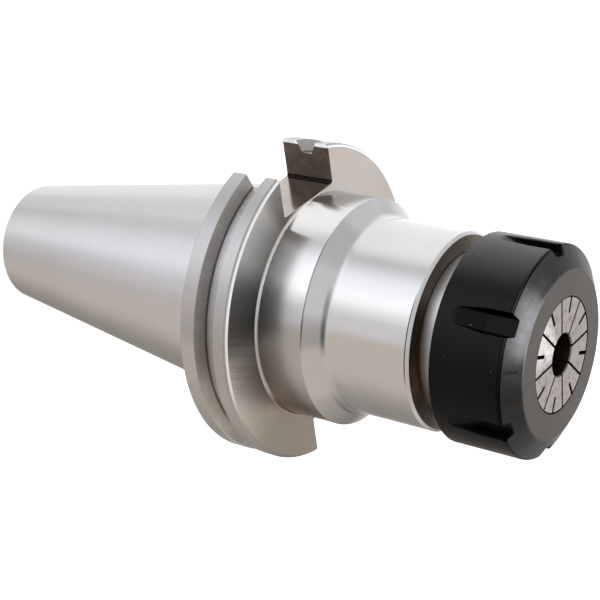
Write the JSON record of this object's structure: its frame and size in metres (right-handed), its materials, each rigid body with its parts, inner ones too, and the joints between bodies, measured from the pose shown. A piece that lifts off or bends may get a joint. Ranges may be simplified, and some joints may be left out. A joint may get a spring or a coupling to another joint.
{
  "type": "collet chuck holder",
  "caption": "Steep-taper collet chuck holder with a vee-grooved drive flange, a stepped body, a slit collet and a clamping nut that turns and moves along its thread.",
  "frame": {"origin": "on the tool axis at the gauge plane, halfway between the taper's small end and the nut's front face", "axes": "+Z along the tool axis, from the spindle taper to the nose, +X through the middle of one drive keyway"},
  "size_m": [0.0966, 0.1, 0.2032],
  "materials": {
    "ground_steel": "ground, satin, with fine turning marks",
    "black_steel": "satin black oxide",
    "collet_steel": "fine ground"
  },
  "bodies": {
    "holder": {"holder_body": "ground_steel"},
    "collet": {"collet": "collet_steel"},
    "nut": {"clamping_nut": "black_steel"}
  },
  "joints": [
    {"name": "collet_slide", "type": "slide", "parent": "holder", "child": "collet", "axis": [0, 0, 1], "range_m": [0, 0.0135]},
    {"name": "nut_turn", "type": "hinge", "parent": "collet", "child": "nut", "pos_m": [0, 0, 0.088], "axis": [0, 0, 1], "range_deg": [0, 3240]}
  ],
  "couplings": [
    {"joint": "collet_slide", "follows": "nut_turn", "m_per_rad": 0.00023873}
  ]
}
